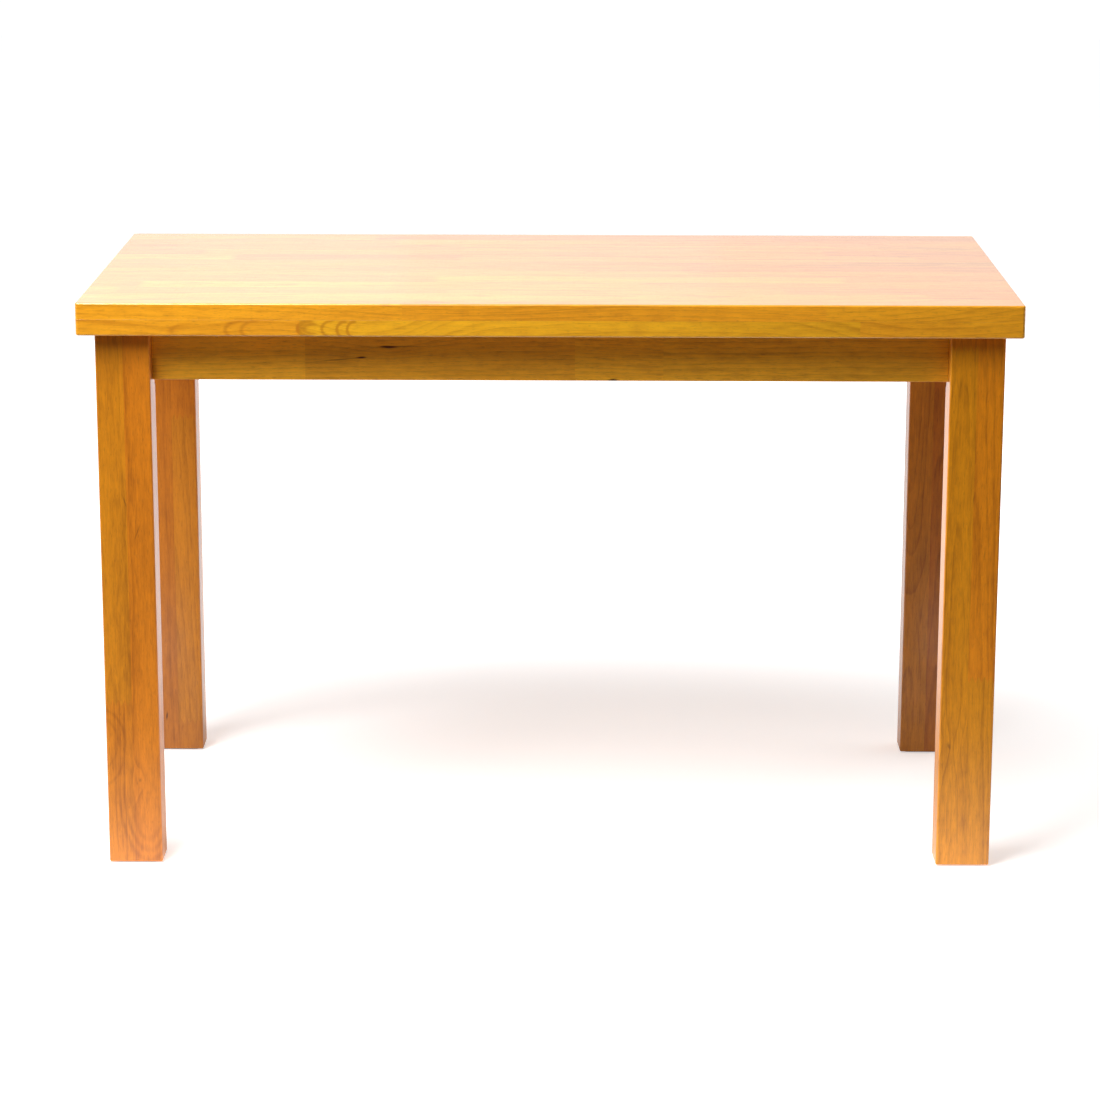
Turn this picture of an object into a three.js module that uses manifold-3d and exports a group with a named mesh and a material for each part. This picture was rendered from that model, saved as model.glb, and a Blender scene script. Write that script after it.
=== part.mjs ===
// Communion table: a plain four-legged table of laminated hardwood with a doubled top edge.
// Aprons stand between the legs, each leg bolts to a 45-degree corner block behind it, and
// steel clips hold the top to the aprons, so the table comes apart with a spanner and a driver.
// Units are millimetres: +X along the length, +Y to the rear, +Z up from the floor.

import * as THREE from "three";
import { mergeVertices } from "three/addons/utils/BufferGeometryUtils.js";
import Module from "manifold-3d";

// Overall sizes
const TABLE_LENGTH = 1200;
const TABLE_WIDTH = 600;
const TABLE_HEIGHT = 750;

// The top: a staved panel with strips glued under its edge, so that the edge looks twice as thick
const PANEL_THICK = 21;
const STRIP_THICK = 21;
const STRIP_COVER = 30; // how far the strips reach in past the legs
const TOP_CORNER_ROUND = 4;
const TOP_OVERHANG = 21; // from the outer faces of the legs to the edge of the top

// Legs: each is two boards glued side by side
const LEG_WIDTH = 70; // along the table's length
const LEG_DEPTH = 50; // along the table's width
const LEG_ARRIS_ROUND = 2.5;
const LEG_CHAMFER = 7.5; // cut off the inner corner where the corner block draws the leg in
const CHAMFER_TAIL = 10; // how far that cut runs on below the aprons

// Aprons
const APRON_HEIGHT = 64;
const APRON_THICK = 18;
const LEG_SHOULDER = 8; // how far a leg stands inside the inner faces of its aprons

// Corner blocks
const BLOCK_THICK = 24;
const BLOCK_STAND_OFF = 5; // from the leg's chamfer to the block, so that the nuts can pull
const BLOCK_MARGIN = 2; // how far the block stops short of the apron's top and bottom edges

// Hanger bolts, washers and nuts, two sets to a leg
const BOLT_DIAMETER = 8;
const BOLT_IN_LEG = 32;
const BOLT_PROUD = 6;
const BOLT_END_CHAMFER = 1;
const WASHER_DIAMETER = 24;
const WASHER_THICK = 2;
const NUT_ACROSS_FLATS = 13;
const NUT_THICK = 6.5;

// Z-shaped clips that hold the top, with one screw each
const CLIP_WIDTH = 20;
const CLIP_METAL = 2;
const CLIP_REACH = 22; // the plate that lies under the top
const CLIP_TONGUE = 9; // the end that sits in the apron's slot
const CLIP_DROP = 12; // from the underside of the top to the tongue
const CLIP_SCREW_REACH = 14; // from the clip's upright to its screw
const SLOT_END_PLAY = 2; // room along the slot, so that the wide top can swell and shrink
const SCREW_DIAMETER = 4.5;
const SCREW_IN_TOP = 16;
const SCREW_TIP = 5;
const SCREW_HEAD_DIAMETER = 9;
const SCREW_HEAD_THICK = 2.6;

// Thin pads under the feet
const GLIDE_THICK = 2;
const GLIDE_MARGIN = 6; // from the leg's faces to the pad's edge
const GLIDE_CORNER_ROUND = 5;

// Clearances
const FIT_GAP = 0.3; // between neighbouring faces, and around each bolt and screw
const CUT_OVERSHOOT = 2; // how far a cutter runs on past the face that it opens
const SLOT_DEPTH_PLAY = 1;

// Smoothness and tolerances
const ROUND_SEGMENTS = 5; // to a quarter turn
const ROD_SEGMENTS = 28; // to a full turn
const MERGE_TOLERANCE = 1e-4;
const QUARTER_TURN = Math.PI / 2;
const HEX_SIDES = 6;

// Worked out from the sizes above
const TOP_UNDERSIDE = TABLE_HEIGHT - PANEL_THICK - STRIP_THICK;
const FRAME_TOP = TOP_UNDERSIDE - FIT_GAP;
const LEG_FOOT = GLIDE_THICK + FIT_GAP;
const APRON_FOOT = FRAME_TOP - APRON_HEIGHT;
const BLOCK_FOOT = APRON_FOOT + BLOCK_MARGIN;
const BLOCK_HEIGHT = APRON_HEIGHT - 2 * BLOCK_MARGIN;
const BOLT_SPACING = BLOCK_HEIGHT / 2; // so each bolt stands at a quarter point of the block
const BOLT_HEIGHTS = {
  upper: BLOCK_FOOT + (BLOCK_HEIGHT + BOLT_SPACING) / 2,
  lower: BLOCK_FOOT + (BLOCK_HEIGHT - BOLT_SPACING) / 2,
};

// Places along a corner's diagonal, from where the inner faces of its two aprons would meet
const CHAMFER_PLACE = (LEG_SHOULDER - LEG_CHAMFER / 2) * Math.SQRT2;
const BLOCK_OUTER = CHAMFER_PLACE + BLOCK_STAND_OFF;
const BLOCK_INNER = BLOCK_OUTER + BLOCK_THICK;
const WASHER_PLACE = BLOCK_INNER + FIT_GAP;
const NUT_PLACE = WASHER_PLACE + WASHER_THICK + FIT_GAP;
const BOLT_START = CHAMFER_PLACE - BOLT_IN_LEG;
const BOLT_END = NUT_PLACE + NUT_THICK + BOLT_PROUD;

// The top's four sides. Each is laid out facing forwards, with +Y into the table, then turned.
const FRONT_STRIP_WIDTH = TOP_OVERHANG + LEG_DEPTH + STRIP_COVER;
const END_STRIP_WIDTH = TOP_OVERHANG + LEG_WIDTH + STRIP_COVER;
const LONG_APRON = TABLE_LENGTH - 2 * (TOP_OVERHANG + LEG_WIDTH + FIT_GAP);
const SHORT_APRON = TABLE_WIDTH - 2 * (TOP_OVERHANG + LEG_DEPTH + FIT_GAP);
const LONG_SIDE = {
  edge: -TABLE_WIDTH / 2,
  legAcross: LEG_DEPTH,
  apronLength: LONG_APRON,
  stripLength: TABLE_LENGTH,
  stripWidth: FRONT_STRIP_WIDTH,
  stripRound: TOP_CORNER_ROUND,
};
const SHORT_SIDE = {
  edge: -TABLE_LENGTH / 2,
  legAcross: LEG_WIDTH,
  apronLength: SHORT_APRON,
  stripLength: TABLE_WIDTH - 2 * (FRONT_STRIP_WIDTH + FIT_GAP),
  stripWidth: END_STRIP_WIDTH,
  stripRound: 0,
};
const SIDES = [
  { ...LONG_SIDE, name: "front", turn: 0, clips: { front_left: -LONG_APRON / 4, front_right: LONG_APRON / 4 } },
  { ...LONG_SIDE, name: "rear", turn: Math.PI, clips: { rear_right: -LONG_APRON / 4, rear_left: LONG_APRON / 4 } },
  { ...SHORT_SIDE, name: "left", turn: -QUARTER_TURN, clips: { left: 0 } },
  { ...SHORT_SIDE, name: "right", turn: QUARTER_TURN, clips: { right: 0 } },
];
const CORNERS = [
  { name: "front_left", x: -1, y: -1 },
  { name: "front_right", x: 1, y: -1 },
  { name: "rear_left", x: -1, y: 1 },
  { name: "rear_right", x: 1, y: 1 },
];

// Finishes
const TOP_WOOD = { color: 0xf0b45c, roughness: 0.32, metalness: 0 };
const FRAME_WOOD = { color: 0xc8853a, roughness: 0.36, metalness: 0 };
const BLOCK_WOOD = { color: 0xc9a26b, roughness: 0.7, metalness: 0 };
const ZINC_STEEL = { color: 0xb9bcc0, roughness: 0.35, metalness: 1 };
const PAD_FELT = { color: 0x5b4a3c, roughness: 0.95, metalness: 0 };

const wasm = await Module();
wasm.setup();

// A closed three.js geometry as a manifold-3d solid.
function solidFrom(geometry) {
  const bare = geometry.clone();
  bare.deleteAttribute("normal");
  bare.deleteAttribute("uv");
  const merged = mergeVertices(bare, MERGE_TOLERANCE);
  const mesh = new wasm.Mesh({
    numProp: 3,
    vertProperties: merged.getAttribute("position").array,
    triVerts: Uint32Array.from(merged.index.array),
  });
  return new wasm.Manifold(mesh);
}

// A manifold-3d solid as a three.js geometry.
function geometryFrom(solid) {
  const mesh = solid.getMesh();
  const geometry = new THREE.BufferGeometry();
  geometry.setAttribute("position", new THREE.BufferAttribute(mesh.vertProperties, 3));
  geometry.setIndex(new THREE.BufferAttribute(mesh.triVerts, 1));
  geometry.computeVertexNormals();
  return geometry;
}

// The geometry with every cutter taken out of it.
function cutFrom(geometry, cutters) {
  const whole = solidFrom(geometry);
  return geometryFrom(cutters.reduce((left, cutter) => left.subtract(solidFrom(cutter)), whole));
}

// A flat outline raised to a slab of the given thickness, with its underside at `foot`.
function slab(outline, thick, foot = 0) {
  const options = { depth: thick, bevelEnabled: false, curveSegments: ROUND_SEGMENTS };
  return new THREE.ExtrudeGeometry(outline, options).translate(0, 0, foot);
}

// A rectangle from (x0, y0) to (x1, y1). `near` rounds the corners at y0 and `far` those at y1.
function rectangle(x0, y0, x1, y1, near, far = near) {
  const outline = new THREE.Shape();
  outline.moveTo(x0 + near, y0);
  outline.lineTo(x1 - near, y0);
  if (near > 0) outline.absarc(x1 - near, y0 + near, near, -QUARTER_TURN, 0);
  outline.lineTo(x1, y1 - far);
  if (far > 0) outline.absarc(x1 - far, y1 - far, far, 0, QUARTER_TURN);
  outline.lineTo(x0 + far, y1);
  if (far > 0) outline.absarc(x0 + far, y1 - far, far, QUARTER_TURN, Math.PI);
  outline.lineTo(x0, y0 + near);
  if (near > 0) outline.absarc(x0 + near, y0 + near, near, Math.PI, 3 * QUARTER_TURN);
  return outline;
}

function roundHole(x, y, radius) {
  return new THREE.Path().absarc(x, y, radius, 0, 2 * Math.PI, true);
}

// A rod along +Y between two places on it.
function rodAlongY(radius, start, end) {
  const rod = new THREE.CylinderGeometry(radius, radius, end - start, ROD_SEGMENTS);
  return rod.translate(0, (start + end) / 2, 0);
}

// A slab whose thickness runs along +Y from `start`, for rings that sit on a bolt.
function ringAlongY(outline, thick, start) {
  const options = { depth: thick, bevelEnabled: false, curveSegments: ROD_SEGMENTS / 2 };
  return new THREE.ExtrudeGeometry(outline, options).rotateX(-QUARTER_TURN).translate(0, start, 0);
}

function meshOf(name, geometry, finish) {
  const mesh = new THREE.Mesh(geometry, new THREE.MeshStandardMaterial(finish));
  mesh.name = name;
  return mesh;
}

// Top panel: edge-glued staves, full size, with eased vertical corners.
function topPanel() {
  const outline = rectangle(
    -TABLE_LENGTH / 2,
    -TABLE_WIDTH / 2,
    TABLE_LENGTH / 2,
    TABLE_WIDTH / 2,
    TOP_CORNER_ROUND,
  );
  return slab(outline, PANEL_THICK, TABLE_HEIGHT - PANEL_THICK);
}

// Edge strip: glued under one side of the panel, with a pilot hole for each clip's screw.
function edgeStrip(side) {
  const half = side.stripLength / 2;
  const outline = rectangle(-half, side.edge, half, side.edge + side.stripWidth, side.stripRound, 0);
  const holeRadius = SCREW_DIAMETER / 2 + FIT_GAP;
  for (const along of Object.values(side.clips)) {
    outline.holes.push(roundHole(along, screwLine(side), holeRadius));
  }
  return slab(outline, STRIP_THICK - FIT_GAP, TOP_UNDERSIDE);
}

// How far in from the table's middle line the inner face of a side's apron lies.
function apronInnerFace(side) {
  return side.edge + TOP_OVERHANG + side.legAcross - LEG_SHOULDER;
}

function screwLine(side) {
  return apronInnerFace(side) + FIT_GAP + CLIP_METAL + CLIP_SCREW_REACH;
}

// Apron: a board on edge between two legs, with a blind slot in its inner face for each clip.
function apron(side) {
  const half = side.apronLength / 2;
  const inner = apronInnerFace(side);
  const board = slab(rectangle(-half, inner - APRON_THICK, half, inner, 0), APRON_HEIGHT, APRON_FOOT);
  const slotHalf = CLIP_WIDTH / 2 + SLOT_END_PLAY;
  const slotDepth = CLIP_TONGUE + SLOT_DEPTH_PLAY;
  const slotHeight = CLIP_METAL + 2 * FIT_GAP;
  const slotFoot = TOP_UNDERSIDE - CLIP_DROP - FIT_GAP;
  const slots = Object.values(side.clips).map((along) =>
    slab(
      rectangle(along - slotHalf, inner - slotDepth, along + slotHalf, inner + CUT_OVERSHOOT, 0),
      slotHeight,
      slotFoot,
    ),
  );
  return cutFrom(board, slots);
}

// Top clip: a tongue in the apron's slot, an upright, and a plate under the top with a screw hole.
function topClip(side, along) {
  const upright = apronInnerFace(side) + FIT_GAP;
  const tongue = TOP_UNDERSIDE - CLIP_DROP;
  const plate = FRAME_TOP - CLIP_METAL;
  const outline = new THREE.Shape();
  outline.moveTo(upright - FIT_GAP - CLIP_TONGUE, tongue);
  outline.lineTo(upright + CLIP_METAL, tongue);
  outline.lineTo(upright + CLIP_METAL, plate);
  outline.lineTo(upright + CLIP_METAL + CLIP_REACH, plate);
  outline.lineTo(upright + CLIP_METAL + CLIP_REACH, FRAME_TOP);
  outline.lineTo(upright, FRAME_TOP);
  outline.lineTo(upright, tongue + CLIP_METAL);
  outline.lineTo(upright - FIT_GAP - CLIP_TONGUE, tongue + CLIP_METAL);
  outline.closePath();
  // The outline stands in the YZ plane, and the clip's width runs along X.
  const strap = slab(outline, CLIP_WIDTH, -CLIP_WIDTH / 2);
  strap.rotateX(QUARTER_TURN).rotateZ(QUARTER_TURN).translate(along, 0, 0);
  const drill = slab(
    new THREE.Shape().absarc(along, screwLine(side), SCREW_DIAMETER / 2 + FIT_GAP, 0, 2 * Math.PI),
    CLIP_METAL + 2 * CUT_OVERSHOOT,
    plate - CUT_OVERSHOOT,
  );
  return cutFrom(strap, [drill]);
}

// Clip screw: pan head under the clip's plate, shank up into the edge strip.
function clipScrew(side, along) {
  const headTop = FRAME_TOP - CLIP_METAL - FIT_GAP;
  const tip = TOP_UNDERSIDE + SCREW_IN_TOP;
  const headEase = SCREW_HEAD_THICK / 3;
  const profile = [
    new THREE.Vector2(0, headTop - SCREW_HEAD_THICK),
    new THREE.Vector2(SCREW_HEAD_DIAMETER / 2 - headEase, headTop - SCREW_HEAD_THICK),
    new THREE.Vector2(SCREW_HEAD_DIAMETER / 2, headTop - SCREW_HEAD_THICK + headEase),
    new THREE.Vector2(SCREW_HEAD_DIAMETER / 2, headTop),
    new THREE.Vector2(SCREW_DIAMETER / 2, headTop),
    new THREE.Vector2(SCREW_DIAMETER / 2, tip - SCREW_TIP),
    new THREE.Vector2(0, tip),
  ];
  const screw = new THREE.LatheGeometry(profile, ROD_SEGMENTS);
  return screw.rotateX(QUARTER_TURN).translate(along, screwLine(side), 0);
}

// Leg: its outer corner is at the corner group's origin, and the table lies towards +X and +Y.
function leg() {
  const outline = rectangle(0, 0, LEG_WIDTH, LEG_DEPTH, LEG_ARRIS_ROUND);
  const post = slab(outline, FRAME_TOP - LEG_FOOT, LEG_FOOT);
  const wedge = new THREE.Shape();
  wedge.moveTo(LEG_WIDTH - LEG_CHAMFER - CUT_OVERSHOOT, LEG_DEPTH + CUT_OVERSHOOT);
  wedge.lineTo(LEG_WIDTH + CUT_OVERSHOOT, LEG_DEPTH - LEG_CHAMFER - CUT_OVERSHOOT);
  wedge.lineTo(LEG_WIDTH + CUT_OVERSHOOT, LEG_DEPTH + CUT_OVERSHOOT);
  wedge.closePath();
  const chamferFoot = APRON_FOOT - CHAMFER_TAIL;
  const chamfer = slab(wedge, FRAME_TOP + CUT_OVERSHOOT - chamferFoot, chamferFoot);
  const bores = Object.values(BOLT_HEIGHTS).map((height) => {
    const bore = rodAlongY(
      BOLT_DIAMETER / 2 + FIT_GAP,
      BOLT_START - FIT_GAP,
      CHAMFER_PLACE + CUT_OVERSHOOT,
    );
    return bore.rotateZ(-QUARTER_TURN / 2).translate(...diagonalOrigin(), height);
  });
  return cutFrom(post, [chamfer, ...bores]);
}

// Where the inner faces of a corner's two aprons would meet.
function diagonalOrigin() {
  return [LEG_WIDTH - LEG_SHOULDER, LEG_DEPTH - LEG_SHOULDER];
}

// Corner block: a 45-degree wedge between two aprons, bored for the hanger bolts.
function cornerBlock() {
  const endGap = FIT_GAP * Math.SQRT2;
  const outline = new THREE.Shape();
  outline.moveTo(-BLOCK_OUTER + endGap, BLOCK_OUTER);
  outline.lineTo(BLOCK_OUTER - endGap, BLOCK_OUTER);
  outline.lineTo(BLOCK_INNER - endGap, BLOCK_INNER);
  outline.lineTo(-BLOCK_INNER + endGap, BLOCK_INNER);
  outline.closePath();
  const bores = Object.values(BOLT_HEIGHTS).map((height) =>
    rodAlongY(
      BOLT_DIAMETER / 2 + FIT_GAP,
      BLOCK_OUTER - CUT_OVERSHOOT,
      BLOCK_INNER + CUT_OVERSHOOT,
    ).translate(0, 0, height),
  );
  return cutFrom(slab(outline, BLOCK_HEIGHT, BLOCK_FOOT), bores);
}

// Hanger bolt: a plain rod with eased ends, from inside the leg to past the nut.
function hangerBolt() {
  const radius = BOLT_DIAMETER / 2;
  const profile = [
    new THREE.Vector2(0, BOLT_START),
    new THREE.Vector2(radius - BOLT_END_CHAMFER, BOLT_START),
    new THREE.Vector2(radius, BOLT_START + BOLT_END_CHAMFER),
    new THREE.Vector2(radius, BOLT_END - BOLT_END_CHAMFER),
    new THREE.Vector2(radius - BOLT_END_CHAMFER, BOLT_END),
    new THREE.Vector2(0, BOLT_END),
  ];
  return new THREE.LatheGeometry(profile, ROD_SEGMENTS);
}

function washer() {
  const outline = new THREE.Shape().absarc(0, 0, WASHER_DIAMETER / 2, 0, 2 * Math.PI);
  outline.holes.push(roundHole(0, 0, BOLT_DIAMETER / 2 + FIT_GAP));
  return ringAlongY(outline, WASHER_THICK, WASHER_PLACE);
}

// Hexagon nut.
function nut() {
  const cornerRadius = NUT_ACROSS_FLATS / Math.sqrt(3);
  const corners = Array.from({ length: HEX_SIDES }, (_, i) => {
    const angle = (2 * Math.PI * i) / HEX_SIDES;
    return new THREE.Vector2(cornerRadius * Math.cos(angle), cornerRadius * Math.sin(angle));
  });
  const outline = new THREE.Shape(corners);
  outline.holes.push(roundHole(0, 0, BOLT_DIAMETER / 2 + FIT_GAP));
  return ringAlongY(outline, NUT_THICK, NUT_PLACE);
}

// Glide pad: stuck under a foot, so that the end grain doesn't scrape the floor.
function glidePad() {
  const outline = rectangle(
    GLIDE_MARGIN,
    GLIDE_MARGIN,
    LEG_WIDTH - GLIDE_MARGIN,
    LEG_DEPTH - GLIDE_MARGIN,
    GLIDE_CORNER_ROUND,
  );
  return slab(outline, GLIDE_THICK);
}

// One side of the table: strip, apron, clips and their screws.
function sideGroup(side) {
  const group = new THREE.Group();
  group.rotation.z = side.turn;
  group.add(meshOf(`edge_strip_${side.name}`, edgeStrip(side), TOP_WOOD));
  group.add(meshOf(`apron_${side.name}`, apron(side), FRAME_WOOD));
  for (const [place, along] of Object.entries(side.clips)) {
    group.add(meshOf(`top_clip_${place}`, topClip(side, along), ZINC_STEEL));
    group.add(meshOf(`clip_screw_${place}`, clipScrew(side, along), ZINC_STEEL));
  }
  return group;
}

// The fixings of one corner, in a frame whose +Y runs along the diagonal into the table.
function fixingGroup(corner) {
  const group = new THREE.Group();
  group.position.set(...diagonalOrigin(), 0);
  group.rotation.z = -QUARTER_TURN / 2;
  group.add(meshOf(`corner_block_${corner.name}`, cornerBlock(), BLOCK_WOOD));
  for (const [level, height] of Object.entries(BOLT_HEIGHTS)) {
    const set = new THREE.Group();
    set.position.z = height;
    set.add(meshOf(`hanger_bolt_${corner.name}_${level}`, hangerBolt(), ZINC_STEEL));
    set.add(meshOf(`washer_${corner.name}_${level}`, washer(), ZINC_STEEL));
    set.add(meshOf(`nut_${corner.name}_${level}`, nut(), ZINC_STEEL));
    group.add(set);
  }
  return group;
}

// One corner of the table: leg, pad and fixings, mirrored from the shape of the front left one.
function cornerGroup(corner) {
  const group = new THREE.Group();
  group.position.x = corner.x * (TABLE_LENGTH / 2 - TOP_OVERHANG);
  group.position.y = corner.y * (TABLE_WIDTH / 2 - TOP_OVERHANG);
  group.scale.set(-corner.x, -corner.y, 1);
  group.add(meshOf(`leg_${corner.name}`, leg(), FRAME_WOOD));
  group.add(meshOf(`glide_pad_${corner.name}`, glidePad(), PAD_FELT));
  group.add(fixingGroup(corner));
  return group;
}

const communionTable = new THREE.Group();
communionTable.add(meshOf("top_panel", topPanel(), TOP_WOOD));
communionTable.add(...SIDES.map(sideGroup));
communionTable.add(...CORNERS.map(cornerGroup));

export default communionTable;
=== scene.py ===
"""A plain communion table in lacquered plantation hardwood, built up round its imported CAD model.

Metres, +X along the table, +Y to the rear, +Z up. The frame of aprons and legs goes up first,
then the fixings that hold it together, then the top, and the studio comes last.
"""

import bmesh
import bpy
import numpy as np
from mathutils import Matrix, Vector


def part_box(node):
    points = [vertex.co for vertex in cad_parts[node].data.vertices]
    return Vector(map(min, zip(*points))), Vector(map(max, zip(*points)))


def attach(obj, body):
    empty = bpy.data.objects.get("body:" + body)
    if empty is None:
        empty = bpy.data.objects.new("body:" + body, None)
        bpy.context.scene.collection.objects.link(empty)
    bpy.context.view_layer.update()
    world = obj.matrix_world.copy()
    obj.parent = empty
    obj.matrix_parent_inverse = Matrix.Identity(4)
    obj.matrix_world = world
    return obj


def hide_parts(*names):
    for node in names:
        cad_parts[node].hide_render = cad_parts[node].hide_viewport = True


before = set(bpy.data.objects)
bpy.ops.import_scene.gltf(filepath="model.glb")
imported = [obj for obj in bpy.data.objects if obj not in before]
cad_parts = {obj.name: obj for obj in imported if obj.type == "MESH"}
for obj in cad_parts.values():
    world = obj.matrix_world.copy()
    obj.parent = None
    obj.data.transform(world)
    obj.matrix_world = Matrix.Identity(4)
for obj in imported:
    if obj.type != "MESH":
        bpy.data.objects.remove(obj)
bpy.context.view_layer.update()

# ---------------------------------------------------------------- aprons
# The four aprons are boards on edge, jointed end to end from shorter lengths of rubberwood,
# planed, eased along the arrises, stained honey brown and lacquered. Each has a blind slot in
# its inner face for every clip that holds the top, and butts against the legs at both ends.

MM = 0.001
ARC_STEPS = 5
MERGE = 0.0001 * MM
CAD_GAP = 0.3 * MM  # left by the CAD between neighbours
TOUCH = 0.05 * MM  # left here between faces that are glued or bear on each other
CLOSING = CAD_GAP - TOUCH
STEP_WALL = 0.02 * MM  # how far a step in a surface leans, so that its wall has a width
APRON_EASE = 1.2 * MM
APRON_END_EASE = 0.3 * MM
CLIP_METAL = 2 * MM
SLOT_DEPTH = 10 * MM
SLOT_PLAY = 2 * MM
SLOT_ROOM = 0.3 * MM
NO_STOPS = ((), (), (), ())


def outline(half, radii, inset, stops):
    """A rounded rectangle, drawn anticlockwise from its lower left corner.

    Each corner is an arc: its middle plus a radius times (cosine, sine) of an angle that runs
    through a quarter turn. An inset moves every side in, and takes the same off each radius
    until none is left. Stops are shares of the way along a side where it gets a point more.
    `inset` is an array, and the result has one outline of (n, 2) points for each of its values.
    """
    inset = np.asarray(inset, float).reshape(-1, 1, 1)
    signs = np.array([(-1, -1), (1, -1), (1, 1), (-1, 1)], float)
    radius = np.maximum(np.reshape(radii, (1, 4, 1)) - inset, 0)
    middle = (np.reshape(half, (1, 1, 2)) - inset - radius) * signs
    turn = np.linspace(0, np.pi / 2, ARC_STEPS) + np.array([[2], [3], [0], [1]]) * np.pi / 2
    arc = np.stack([np.cos(turn), np.sin(turn)], -1)
    corners = middle[:, :, None] + radius[:, :, None] * arc
    sides = []
    for corner in range(4):
        end, start = corners[:, corner, -1:], corners[:, (corner + 1) % 4, :1]
        share = np.reshape(stops[corner], (1, -1, 1))
        sides += [corners[:, corner], end + (start - end) * share]
    return np.concatenate(sides, axis=1)


def milled_board(low, high, axis, radii, eases, stops=NO_STOPS, stations=()):
    """A board between two corners as rings round `axis`, each a rounded rectangle square to it.

    The rings start on a line inside the low end, open out through a quarter-round of radius
    eases[0], run along with one ring at each of `stations`, and close through a quarter-round
    of radius eases[1] to a line inside the high end.
    """
    low, high = np.array(low, float), np.array(high, float)
    across = [(axis + 1) % 3, (axis + 2) % 3]
    half = (high - low)[across] / 2
    turn = np.linspace(0, np.pi / 2, ARC_STEPS)
    opening, closing = 1 - np.sin(turn), 1 - np.cos(turn)
    inset = np.concatenate([eases[0] * opening, np.zeros(len(stations)), eases[1] * closing])
    place = np.concatenate([
        low[axis] + eases[0] * closing,
        stations,
        high[axis] - eases[1] * opening,
    ])
    flat = outline(half, radii, inset, stops)
    spine = half - half.min()
    cap = np.clip(flat[[0, -1]], -spine, spine)
    flat = np.concatenate([cap[:1], flat, cap[1:]])
    points = np.empty((*flat.shape[:2], 3))
    points[..., across] = flat + (low + high)[across] / 2
    points[..., axis] = np.concatenate([place[:1], place, place[-1:]])[:, None]
    return points


def add_piece(name, points, material, replaces, torus=False, wear=None):
    """Joins rings of points into one closed mesh and puts it on the table.

    Each quad joins two neighbours on one ring to the same two on the next, and on a torus the
    last ring joins the first. Points that meet on a line or a pole are merged. `wear` is kept
    at each point as the attribute "arris": 1 on an eased arris, 0 on a flat.
    """
    rings, around = points.shape[:2]
    index = np.arange(rings * around).reshape(rings, around)
    if torus:
        index = np.concatenate([index, index[:1]])
    beside = np.roll(index, -1, axis=1)
    quads = np.stack([index[:-1], beside[:-1], beside[1:], index[1:]], axis=-1).reshape(-1, 4)
    mesh = bpy.data.meshes.new(name)
    mesh.from_pydata(points.reshape(-1, 3).tolist(), [], quads.tolist())
    arris = mesh.attributes.new("arris", "FLOAT", "POINT")
    arris.data.foreach_set("value", np.zeros(rings * around) if wear is None else wear.ravel())
    welded = bmesh.new()
    welded.from_mesh(mesh)
    bmesh.ops.remove_doubles(welded, verts=welded.verts, dist=MERGE)
    bmesh.ops.recalc_face_normals(welded, faces=welded.faces)
    welded.to_mesh(mesh)
    welded.free()
    mesh.shade_smooth()
    mesh.materials.append(material)
    piece = bpy.data.objects.new(name, mesh)
    bpy.context.scene.collection.objects.link(piece)
    crisp = piece.modifiers.new("crisp flats", "WEIGHTED_NORMAL")
    crisp.weight = 100
    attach(piece, "root")
    if replaces:
        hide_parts(*replaces)
    return piece


def arris_wear(points, reach):
    """How near each point is to an arris of the box round them all: 1 on it, 0 beyond `reach`.

    A point on an arris lies close to two of the box's faces at once, so the second smallest of
    its six distances tells how far it is from one.
    """
    low, high = points.min((0, 1)), points.max((0, 1))
    gaps = np.sort(np.minimum(points - low, high - points), axis=-1)
    return np.clip(1 - gaps[..., 1] / reach, 0, 1)


class Field:
    """A value that changes over a surface. Arithmetic on fields adds the shader nodes for it."""

    def __init__(self, tree, socket):
        self.tree = tree
        self.socket = socket

    def fed(self, node, *values):
        for target, value in zip(node.inputs, values):
            if isinstance(value, Field):
                self.tree.links.new(value.socket, target)
            else:
                target.default_value = value
        return Field(self.tree, node.outputs[0])

    def math(self, operation, *values):
        node = self.tree.nodes.new("ShaderNodeMath")
        node.operation = operation
        return self.fed(node, *values)

    def __add__(self, other):
        return self.math("ADD", self, other)

    def __sub__(self, other):
        return self.math("SUBTRACT", self, other)

    def __rsub__(self, other):
        return self.math("SUBTRACT", other, self)

    def __mul__(self, other):
        return self.math("MULTIPLY", self, other)

    def __truediv__(self, other):
        return self.math("DIVIDE", self, other)

    __radd__ = __add__
    __rmul__ = __mul__

    def floor(self):
        return self.math("FLOOR", self)

    def size(self):
        return self.math("ABSOLUTE", self)

    def above(self, limit):
        return self.math("GREATER_THAN", self, limit)

    def power(self, exponent):
        return self.math("POWER", self, exponent)

    def reach(self, other):
        """The length of the arrow (self, other)."""
        return self.math("SQRT", self * self + other * other)

    def zigzag(self, pitch):
        """Up and down between 0 and 1, once to each two pitches."""
        return self.math("PINGPONG", self, pitch) / pitch

    def bell(self):
        """1 at zero, fading as exp(-self squared)."""
        return self.math("EXPONENT", 0 - self * self)

    def step(self, low, high):
        """0 below low, 1 above high, smooth between."""
        node = self.tree.nodes.new("ShaderNodeMapRange")
        node.interpolation_type = "SMOOTHSTEP"
        return self.fed(node, self, low, high, 0.0, 1.0)


def new_material(name):
    """A material, its tree and shader, and the place in the solid as three fields."""
    material = bpy.data.materials.new(name)
    material.use_nodes = True
    tree = material.node_tree
    split = tree.nodes.new("ShaderNodeSeparateXYZ")
    tree.links.new(tree.nodes.new("ShaderNodeTexCoord").outputs["Object"], split.inputs[0])
    return material, tree, tree.nodes["Principled BSDF"], [Field(tree, output) for output in split.outputs]


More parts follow.
